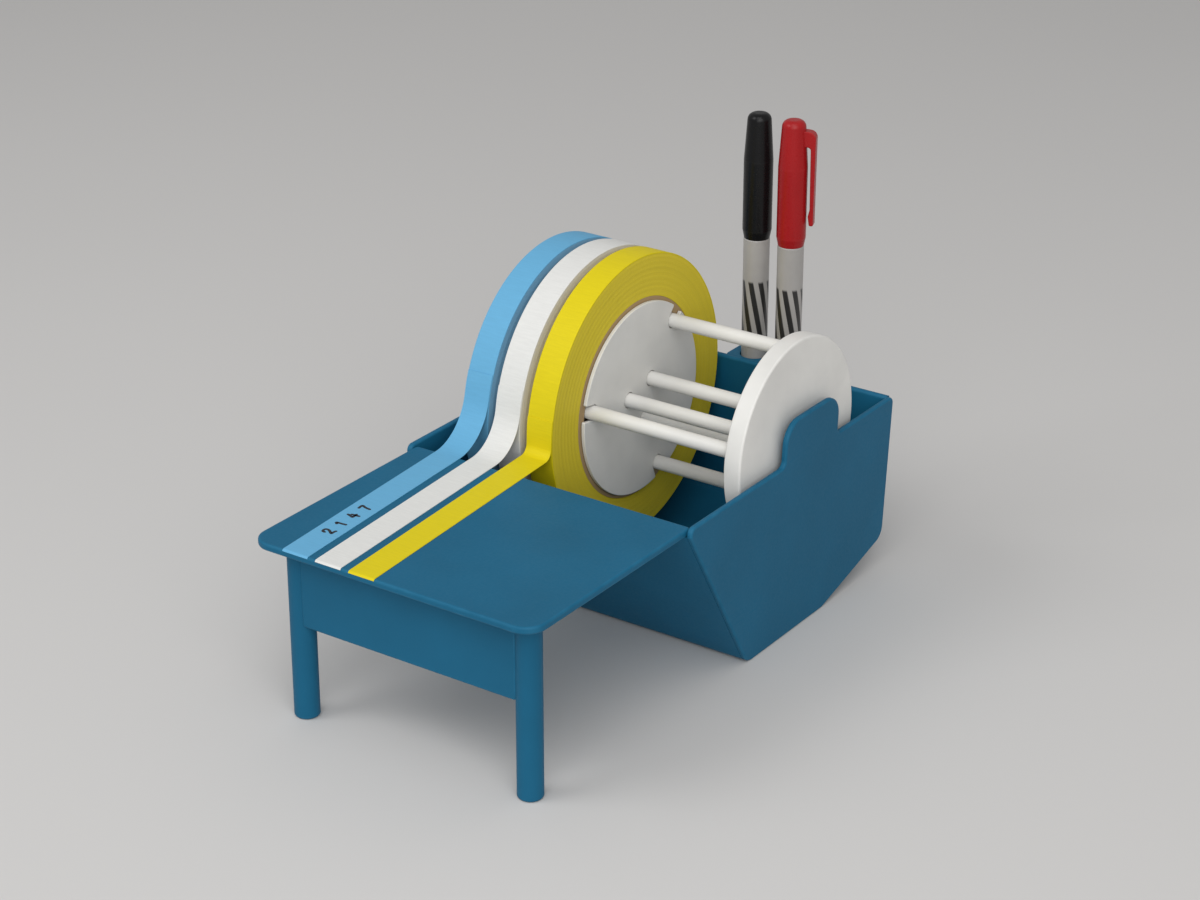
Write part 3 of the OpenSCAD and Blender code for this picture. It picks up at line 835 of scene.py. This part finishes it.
class MakeBin(Step):
    """Folded bin sheet between two leaning side panels, with slotted bearing pads under the humps"""

    bl_idname = "tape_dispenser.make_bin"
    bl_label = "Bin"

    def execute(self, context):
        body = context.scene.dispenser_body
        inner, outer = sheet_corners(body, 0), sheet_corners(body, body.sheet)
        fold, lip = body.fold, body.sheet / 2 - LIP_FLAT
        outer_folds = [fold + body.sheet] * 3
        radii = [0, *outer_folds, lip, lip, fold, fold, fold, 0]
        section = rounded(np.concatenate([outer, inner[::-1]]), radii, steps=10)
        bin_sheet = along_x(slab(section, -1, 1, 0))
        points = bin_sheet[0]
        points[:, 0] *= wall_x(points[:, 2], body.panel) + SHEET_SUNK
        body_piece("folded_bin", bin_sheet, "bin_trough")

        top, peak = BIN_HIGH[2], PANEL_HIGH[2]
        centre, half = AXIS[0] + body.hump_shift, body.hump_wide / 2
        fore, aft = centre - half, centre + half
        line = np.concatenate([
            outer[:4],
            [[BIN_HIGH[1], top], [aft, top], [aft, peak], [fore, peak], [fore, top], [outer[0, 0], top]],
        ])
        radii = [
            body.small_corner, *outer_folds, body.panel_round, body.hump_fillet, body.hump_round,
            body.hump_round, body.hump_fillet, body.nose_round,
        ]
        panel = along_x(slab(rounded(line, radii, steps=12), 0, body.panel, body.edge_round))
        points = panel[0]
        points[:, 0] += wall_x(points[:, 2], body.panel)
        pad = pad_shape(body)
        points = pad[0]
        reach = wall_x(points[:, 2], body.panel) + PAD_SUNK - PAD_LOW[0]
        points[:, 0] = PAD_LOW[0] + points[:, 0] * reach
        for side in SIDES:
            body_piece(side + "_leaning_panel", on_side(side, panel), side + "_side_panel")
            body_piece(side + "_bearing_pad", on_side(side, pad), side + "_bearing")
        return {"FINISHED"}


class MakeHolder(Step):
    """Block on the back wall with a blind hole for each marker"""

    bl_idname = "tape_dispenser.make_holder"
    bl_label = "Marker holder"

    def execute(self, context):
        body = context.scene.dispenser_body
        low, high = span("marker_holder")
        small, large = body.small_corner, body.holder_round
        outline = rounded(oblong(low, high), [small, small, large, large])
        holes = [hole(middle(ink + "_barrel")[:2], body.hole_r, HOLE_SIDES) for ink in INKS]
        block = slab(outline, low[2], high[2], body.holder_edge, holes, body.hole_floor, hold=HOLDER_HOLD)
        body_piece("marker_block", block, "marker_holder")
        return {"FINISHED"}


# Spindle

RINGS = ("outer", "inner")
RING_RODS = (1, 2, 3)
PLATE_SIDES = 160
STUB_ROUND = 0.5 * MM
ROD_SIDES = 40
ROD_ROUND = 0.3 * MM
WAY_SIDES = 48
KEEPER_ARC = 70
NOTCH_ROUND = 0.5 * MM
NOTCH_CLEAR = 1.6  # degrees
NOTCH_PITCH = 360 / len(RING_RODS)
NOTCH_HOLD = 0.06 * MM
KEEPER_HOLD = 0.05 * MM


class MakeSpindle(Step):
    """Two end plates with axle stubs, and two rings of rods between them"""

    bl_idname = "tape_dispenser.make_spindle"
    bl_label = "Spindle"

    def execute(self, context):
        size = context.scene.dispenser_spindle
        rim, stub = size.rim_round, size.stub_r
        for side in SIDES:
            node = side + "_end_plate"
            low, high = span(node)
            r = half_height(node)
            x0, x1 = sorted(np.abs([low[0], high[0]]))
            face = x0 + getattr(size, side + "_plate")
            profile = rounded(
                [[0, x0], [r, x0], [r, face], [stub, face], [stub, x1], [0, x1]],
                [0, rim, rim, STUB_ROUND, STUB_ROUND, 0], closed=False,
            )
            plate = on_side(side, along_x(lathe(profile, PLATE_SIDES), AXIS))
            white_piece(side + "_white_plate", plate, "spindle", node)
        for name in [f"{ring}_rod_{i}" for ring in RINGS for i in RING_RODS]:
            low, high = span(name)
            rod = round_bar(size.rod_r, low[0], high[0], ROD_ROUND, ROD_SIDES)
            white_piece("white_" + name, along_x(rod, middle(name)[1:]), "spindle", name)
        return {"FINISHED"}


class MakeKeeper(Step):
    """Disc that slides on the rods, with open notches for the outer ring and holes for the inner one"""

    bl_idname = "tape_dispenser.make_keeper"
    bl_label = "Keeper disc"

    def execute(self, context):
        size = context.scene.dispenser_spindle
        r, way = size.keeper_r, size.rod_way
        outer, inner = ([middle(f"{ring}_rod_{i}")[1:] - AXIS for i in RING_RODS] for ring in RINGS)
        lip = math.degrees(math.asin(way / r))
        clear = lip + NOTCH_CLEAR
        parts = []
        for centre in outer:
            turn = math.atan2(centre[1], centre[0])
            degrees = math.degrees(turn)
            out = np.array([math.cos(turn), math.sin(turn)])
            side = np.array([-out[1], out[0]]) * way
            mouth = out * r * math.cos(math.radians(lip))
            arc = circle((0, 0), r, degrees + clear, degrees + NOTCH_PITCH - clear, KEEPER_ARC)
            notch = circle(centre, way, degrees - 90, degrees - 270, HALF_ROUND)
            parts += [([mouth - side], NOTCH_ROUND), (notch, 0), ([mouth + side], NOTCH_ROUND), (arc, 0)]
        outline = rounded(*chain(parts), hold=NOTCH_HOLD)
        low, high = span("keeper_disc")
        holes = [hole(centre, way, WAY_SIDES) for centre in inner]
        disc = slab(outline, low[0], high[0], size.keeper_round, holes, hold=KEEPER_HOLD)
        white_piece("notched_keeper", along_x(disc, AXIS), "keeper", "keeper_disc")
        return {"FINISHED"}


# Tape

ROLL_SIDES = 180
LAYERS = 44
LAYER_WAVES = (2900, 7100)  # radians per metre
LAYER_DEPTH = 0.9
LAYER_INNER = 0.4 * MM
LAYER_OUTER = 0.6 * MM
TREAD_ROUND = 0.22 * MM
CORE_SIDES = 120
CORE_ROUND = 0.3 * MM
LAP_RISE = 0.8  # tape thicknesses
REST_RISE = 0.55  # tape thicknesses
FLAT_POINTS = 60
BEND_POINTS = 28
RISE_POINTS = 6
LAP_POINTS = 10
TAPE_INSET = 0.1 * MM
HELD_CLEAR = 0.6 * MM
INK_THICK = 0.03 * MM


class MakeRolls(Step):
    """Three rolls of tape with slightly uneven windings, each on a board core"""

    bl_idname = "tape_dispenser.make_rolls"
    bl_label = "Tape rolls"

    def execute(self, context):
        size, tint = context.scene.dispenser_tape, context.scene.dispenser_colours.core
        board = moulded("core_board", tint, CORE_WORN, roughness=0.8, blotch=90, grain=1600, bump=0.3)
        level = np.linspace(CORE_R + LAYER_INNER, ROLL_R - LAYER_OUTER, LAYERS)
        for number, tape in enumerate(TAPES):
            low, high = span(tape + "_roll")
            x0, x1 = low[0], high[0]
            # At the radius r, roll n stands out by depth step (sin(w1 r + n) + sin(w2 r + 2 n) - 1) / 2
            waves = (np.sin(level * wave + k * number) for k, wave in enumerate(LAYER_WAVES, 1))
            step = size.layer_step * (sum(waves) - 1) / 2 * LAYER_DEPTH
            left, right = (np.stack([level, x, np.ones(LAYERS)], 1) for x in (x0 - step, x1 + step))
            inner = ROLL_R - MM
            tread = [[inner, x0], [ROLL_R, x0], [ROLL_R, x1], [inner, x1]]
            tread = rounded(tread, TREAD_ROUND, closed=False, steps=3)[1:-1] * [1, 1, 0]
            bore = [[CORE_R, x1, 0], [CORE_R, x0, 0]]
            profile = np.concatenate([left, tread, right[::-1], bore])
            p, f, m = along_x(lathe(profile, ROLL_SIDES, ring=True), AXIS)
            body = tape + "_tape_roll"
            make_piece(
                tape + "_wound_tape", (p, f, m * 0), body, tape + "_tape", paper(tape), tape + "_roll",
                side=m,
            )
            line = [[size.bore_r, x0], [CORE_R, x0], [CORE_R, x1], [size.bore_r, x1]]
            core = along_x(lathe(rounded(line, CORE_ROUND, steps=3), CORE_SIDES, ring=True), AXIS)
            make_piece(tape + "_board_core", core, body, "core_board", board, tape + "_core")
        return {"FINISHED"}


def tape_path(scene, tape):
    """Middle line of a free tape in Y and Z: front edge, flat, an arc of the bend radius, straight, roll.

    The tape leaves the roll at the angle a above its axis, so the straight part leans back by a and
    has the length (axis height - top + R sin a - bend (1 - sin a)) / cos a. The line comes with the
    point where it leaves the writing top and the point where it meets the roll.
    """
    size, edge = scene.dispenser_tape, scene.dispenser_body.edge_round
    bend, leave = getattr(size, tape + "_bend"), getattr(size, tape + "_leave")
    sine, cosine, degrees = math.sin(leave), math.cos(leave), math.degrees(leave)
    r = ROLL_R + size.thick * LAP_RISE
    z0 = TOP_HIGH[2] + size.thick * REST_RISE
    rim = np.array([TOP_LOW[1] + edge, TOP_HIGH[2] - edge])
    straight = (AXIS[1] - z0 + r * sine - bend * (1 - sine)) / cosine
    foot = AXIS[0] - r * cosine - straight * sine - bend * cosine
    over = circle(rim, z0 - rim[1], 90 + math.degrees(size.overhang), 90, LAP_POINTS)[:-1]
    flat = np.stack([np.linspace(rim[0], foot, FLAT_POINTS), np.full(FLAT_POINTS, z0)], 1)
    arc = circle((foot, z0 + bend), bend, -90, -degrees, BEND_POINTS)[1:]
    rise = arc[-1] + np.linspace(0, straight, RISE_POINTS)[1:, None] * [sine, cosine]
    start = 180 - degrees
    lap = circle(AXIS, r, start, start - math.degrees(size.wrap), LAP_POINTS)[1:]
    return np.concatenate([over, flat, arc, rise, lap]), (foot, z0), rise[-1]


class MakeTails(Step):
    """Pulled-out tapes that lie on the writing top and climb to their rolls"""

    bl_idname = "tape_dispenser.make_tails"
    bl_label = "Free tapes"

    def execute(self, context):
        size = context.scene.dispenser_tape
        for tape in TAPES:
            low, high = span(tape + "_roll")
            path, foot, leave = tape_path(context.scene, tape)
            way = unit(np.gradient(path, axis=0))
            across = np.stack([-way[:, 1], way[:, 0]], 1) * size.thick / 2
            section = np.stack([path - across, path + across, path + across, path - across], 1)
            x0, x1 = low[0] + TAPE_INSET, high[0] - TAPE_INSET
            turned = np.clip(leave[0] - section[..., 0], 0, None) * math.tan(size.turn)
            x = np.array([x0, x0, x1, x1]) + turned
            strip = ribbon(np.concatenate([x[..., None], section], 2))
            centre = middle(tape + "_roll")[0]
            held = path[np.argmax(path[:, 0] > AXIS[0] - ROLL_R - HELD_CLEAR) - 1]
            ends = [(centre, foot[0] - size.peel, foot[1]), (centre, *held)]
            make_piece(
                tape + "_free_tape", strip, None, tape + "_tape", paper(tape), tape + "_tail",
                blend=("base", "spindle", *ends), side=strip[2],
            )
        return {"FINISHED"}


NUMERALS = (
    (((0.05, 0.72), (0.12, 1.0), (0.6, 1.02), (0.56, 0.6), (0.02, 0.03), (0.36, 0.08), (0.64, 0.0)),),
    (((0.12, 0.78), (0.34, 1.02), (0.30, 0.5), (0.32, 0.0)),),
    (
        ((0.30, 1.0), (0.16, 0.62), (0.0, 0.34), (0.30, 0.36), (0.62, 0.38)),
        ((0.46, 0.72), (0.44, 0.4), (0.45, 0.0)),
    ),
    (((0.02, 0.94), (0.3, 0.97), (0.62, 0.98), (0.36, 0.55), (0.26, 0.0)),),
)
PEN_END = np.radians([[78], [55], [28]])


def smoothed(points, rounds=3):
    """Line whose corners are cut at a quarter and three quarters of each side, several times."""
    line = np.array(points, float)
    for _ in range(rounds):
        cut = np.stack([0.75 * line[:-1] + 0.25 * line[1:], 0.25 * line[:-1] + 0.75 * line[1:]], 1)
        line = np.concatenate([line[:1], cut.reshape(-1, 2), line[-1:]])
    return line


def stroke(points, width, low, high):
    """Flat pen stroke: a line widened by r = width / 2 to both sides.

    Past each end, at the distance r sin a, it is widened by r cos a, which rounds the end.
    """
    line = smoothed(points)
    way = unit(np.gradient(line, axis=0))
    past, narrow = np.sin(PEN_END) * width / 2, np.cos(PEN_END) * width / 2
    line = np.concatenate([line[0] - way[0] * past, line, line[-1] + way[-1] * past[::-1]])
    half = np.concatenate([narrow, np.full((len(way), 1), width / 2), narrow[::-1]])
    way = np.pad(way, ((len(past), len(past)), (0, 0)), "edge")
    side = np.stack([way[:, 1], -way[:, 0]], 1) * half
    corners = ((line - side, low), (line - side, high), (line + side, high), (line + side, low))
    return ribbon(np.stack([np.column_stack([place, np.full(len(place), z)]) for place, z in corners], 1))


class MakeNumerals(Step):
    """Plain numerals written on the blue tape"""

    bl_idname = "tape_dispenser.make_numerals"
    bl_label = "Written numerals"

    def execute(self, context):
        size, tint = context.scene.dispenser_tape, context.scene.dispenser_colours.ink
        _, foot, leave = tape_path(context.scene, "blue")
        face = foot[1] + size.thick / 2
        along = np.array([-math.sin(size.turn), math.cos(size.turn)])
        up = np.array([-along[1], along[0]])
        y0 = TOP_LOW[1] + size.ink_start
        start = np.array([middle("blue_roll")[0] + (leave[0] - y0) * math.tan(size.turn), y0])
        shapes = []
        for number, strokes in enumerate(NUMERALS):
            corner = start + along * size.ink_pitch * number - up * size.ink_tall / 2
            for points in strokes:
                p, f, m = stroke(np.array(points) * size.ink_tall, size.ink_width, face, face + INK_THICK)
                p = np.column_stack([corner + p[:, :1] * along + p[:, 1:2] * up, p[:, 2]])
                shapes.append((p, f, m))
        ink = moulded("marker_ink", tint, tint, roughness=0.55, wear=0, blotch=700, grain=2500, bump=0.1)
        make_piece("written_numerals", joined(*shapes), "base", "black_felt", ink)
        return {"FINISHED"}


# Markers

MARKER_SIDES = 72
BARREL_ROUNDS = np.array([0, 1, 0.4, 0.3, 1, 0.5, 0]) * MM
BARREL_HOLD = 0.1 * MM
NIB_SIDES = 40
NIB_ARC = 12
CAP_ROUNDS = np.array([0, 1, 0.15, 0.25, 3, 12]) * MM
CAP_HOLD = 0.05 * MM
TAPER_LONG = 5  # times its drawing-in
PALER_GAIN = 1.25
PALER_LIFT = 0.02
CLIP_ROOT = 0.6  # of the crown's radius
CLIP_SHIFTS = np.array([
    [0, -6], [-0.3, -6.5], [0, 7], [-0.7, 4], [-0.1, 0], [-0.2, 0], [0, 0], [0, 0.5],
]) * MM
CLIP_ROUNDS = np.array([0, 1.2, 3, 2, 0.5, 0.5, 3, 0]) * MM
CLIP_EDGE = 0.35 * MM
CLIP_HOLD = 0.1 * MM


def barrel_shape(size, low, shoulder, high):
    """Straight barrel, neck and tapered nose, turned about the marker's axis."""
    barrel, neck = size.barrel_r, size.neck_r
    line = [
        [0, low], [barrel, low], [barrel, shoulder], [neck, shoulder], [neck, shoulder + size.neck],
        [size.nose_r, high], [0, high],
    ]
    return lathe(rounded(line, BARREL_ROUNDS, closed=False, hold=BARREL_HOLD), MARKER_SIDES)


def nib_shape(r, low, high):
    """Round nib with a quarter circle at its tip, turned about the marker's axis."""
    tip = circle((0, high - r), r, 0, 90, NIB_ARC)[:-1]
    return lathe(np.concatenate([[[0, low], [r, low]], tip, [[0, high]]]), NIB_SIDES)


def clip_shape(size, crown, top, turn):
    """Clip drawn in radius and height, given its width and turned about the marker's axis.

    A point at the radius r and the sideways distance s goes to (r cos t - s sin t, r sin t + s cos t).
    """
    inner = size.cap_r + size.clip_gap
    outer, root = inner + size.clip_thick, crown * CLIP_ROOT
    high = top - size.clip_drop
    low = high - size.clip_long
    corners = [
        [root, high], [inner, high], [inner, low], [inner, low],
        [inner, low], [outer, low], [outer, high], [root, high],
    ]
    outline = rounded(corners + CLIP_SHIFTS, CLIP_ROUNDS, hold=CAP_HOLD)
    half = size.clip_width / 2
    p, f, m = slab(outline, -half, half, CLIP_EDGE, hold=CLIP_HOLD)
    r, s, cosine, sine = p[:, 0], -p[:, 2], math.cos(turn), math.sin(turn)
    return np.stack([r * cosine - s * sine, r * sine + s * cosine, p[:, 1]], 1), f, m


def cap_shape(size, low, high, turn):
    """Hollow cap, drawn in at both ends and turned about the marker's axis, with its clip."""
    r, bore, crown = size.cap_r, size.cap_r - size.cap_wall, size.cap_r - size.crown_step
    ceiling = low + size.cap_depth
    line = [
        [0, ceiling], [bore, ceiling], [bore, low], [r - size.cap_taper, low],
        [r, low + TAPER_LONG * size.cap_taper], [r, low + size.cap_straight], [crown, high], [0, high],
    ]
    rounds = [*CAP_ROUNDS, size.crown_round, 0]
    shell = lathe(rounded(line, rounds, closed=False, steps=8, hold=CAP_HOLD), MARKER_SIDES)
    return joined(shell, clip_shape(size, crown, high, turn))


class MakeMarkers(Step):
    """Two capped felt markers that stand in the holder"""

    bl_idname = "tape_dispenser.make_markers"
    bl_label = "Markers"

    def execute(self, context):
        size, tint = context.scene.dispenser_markers, context.scene.dispenser_colours
        for ink in INKS:
            low, high = heights(ink + "_barrel")
            cap_low, cap_high = heights(ink + "_cap")
            body, foot = ink + "_marker", middle(ink + "_barrel") * [1, 1, 0]
            grey = moulded(
                ink + "_barrel_grey", tint.barrel, BARREL_WORN, roughness=0.34, wear=0.2, blotch=60,
                bump=0.04, coat=0.1,
            )
            barred(grey, foot, tint.band)
            barrel = moved(barrel_shape(size, low, cap_low, high), foot)
            make_piece(ink + "_marker_barrel", barrel, body, "barrel_grey", grey, ink + "_barrel")
            soaked = getattr(tint, ink + "_nib")
            felt = moulded(ink + "_felt", soaked, soaked, roughness=0.9, grain=3000, bump=0.5)
            nib = moved(nib_shape(size.nib_r, *heights(ink + "_nib")), foot)
            make_piece(ink + "_felt_nib", nib, body, ink + "_felt", felt, ink + "_nib")
            shade = getattr(tint, ink + "_cap")
            paler = [min(1, PALER_GAIN * part + PALER_LIFT) for part in shade]
            gloss = moulded(
                ink + "_gloss", shade, paler, roughness=0.3, wear=0.2, blotch=60, bump=0.03, coat=0.05,
                gloss=0.2,
            )
            cap = moved(cap_shape(size, cap_low, cap_high, getattr(size, ink + "_clip")), foot)
            make_piece(ink + "_gloss_cap", cap, body + "_cap", "cap_" + ink, gloss, ink + "_cap")
        return {"FINISHED"}


# Stage

FLOOR_REACH = 6.0
FLOOR_ROUGHNESS = 0.9
CLOUD_SCALE = 1.2
CLOUD_SHADE = (0.985, 1.015)
LAMPS = {
    "key": ((-1.0, -1.25, 1.55), 1.1), "front": ((0.7, -1.5, 0.75), 1.2),
    "fill": ((1.3, -1.2, 1.1), 1.4), "top": ((0.45, -0.75, 1.65), 1.2),
}
LAMP_AIM = np.array([0, 0, 0.06])
SENSOR = 36  # millimetres


class MakeStage(Step):
    """Pale floor, soft lamps and the camera"""

    bl_idname = "tape_dispenser.make_stage"
    bl_label = "Stage"

    def execute(self, context):
        scene, stage = context.scene, context.scene.dispenser_stage
        scene.view_settings.view_transform = "Standard"

        def place(name, data):
            """Object in the scene."""
            item = bpy.data.objects.new(name, data)
            scene.collection.objects.link(item)
            return item

        mesh = bpy.data.meshes.new("floor")
        corners = np.array([(-1, -1, 0), (1, -1, 0), (1, 1, 0), (-1, 1, 0)]) * FLOOR_REACH
        mesh.from_pydata(corners.tolist(), [], [(0, 1, 2, 3)])
        material, web, shader, ground = start_material("pale_floor")
        clouds = web.ranged(web.noise(ground, CLOUD_SCALE, 2), *CLOUD_SHADE)
        tint = web.tinted((*scene.dispenser_colours.floor, 1), clouds)
        web.feed(shader.inputs["Base Color"], tint)
        web.feed(shader.inputs["Roughness"], FLOOR_ROUGHNESS)
        mesh.materials.append(material)
        place("floor", mesh)
        for name, (spot, width) in LAMPS.items():
            lamp = bpy.data.lights.new(name, "AREA")
            lamp.energy, lamp.size, lamp.spread = getattr(stage, name), width, stage.spread
            item = place(name, lamp)
            item.location = spot
            x, y, z = LAMP_AIM - spot
            item.rotation_euler = (math.atan2(math.hypot(x, y), -z), 0, math.atan2(-x, y))
        scene.world = bpy.data.worlds.new("even_sky")
        scene.world.use_nodes = True
        back = scene.world.node_tree.nodes["Background"]
        back.inputs["Color"].default_value = (1, 1, 1, 1)
        back.inputs["Strength"].default_value = stage.sky
        camera = bpy.data.cameras.new("camera")
        camera.lens, camera.sensor_width = stage.lens, SENSOR
        scene.camera = place("camera", camera)
        scene.camera.location = stage.camera
        scene.camera.rotation_euler = (math.pi / 2 - stage.pitch, 0, stage.yaw)
        return {"FINISHED"}


STEPS = (
    MakeStage, MakeTable, MakeBin, MakeHolder, MakeSpindle, MakeKeeper, MakeRolls, MakeTails,
    MakeNumerals, MakeMarkers,
)
GROUPS = {
    "dispenser_body": BodySizes, "dispenser_spindle": SpindleSizes, "dispenser_tape": TapeSizes,
    "dispenser_markers": MarkerSizes, "dispenser_colours": Colours, "dispenser_stage": StageSettings,
}


class DispenserPanel(bpy.types.Panel):
    """Steps and settings of the tape dispenser"""

    bl_idname = "VIEW3D_PT_tape_dispenser"
    bl_label = "Tape dispenser"
    bl_space_type = "VIEW_3D"
    bl_region_type = "UI"
    bl_category = "Tape dispenser"

    def draw(self, context):
        for step in STEPS:
            self.layout.operator(step.bl_idname)
        for name, group in GROUPS.items():
            box = self.layout.box()
            box.label(text=group.__doc__)
            for key in group.__annotations__:
                box.prop(getattr(context.scene, name), key)


def register():
    """Registers the settings, the steps and the panel."""
    for name, group in GROUPS.items():
        bpy.utils.register_class(group)
        setattr(bpy.types.Scene, name, bpy.props.PointerProperty(type=group))
    for item in (*STEPS, DispenserPanel):
        bpy.utils.register_class(item)


def unregister():
    """Takes back what register added."""
    for item in (DispenserPanel, *reversed(STEPS)):
        bpy.utils.unregister_class(item)
    for name, group in reversed(GROUPS.items()):
        delattr(bpy.types.Scene, name)
        bpy.utils.unregister_class(group)


def main():
    """Builds everything in order."""
    register()
    for step in STEPS:
        family, name = step.bl_idname.split(".")
        getattr(getattr(bpy.ops, family), name)()


if __name__ == "__main__":
    main()
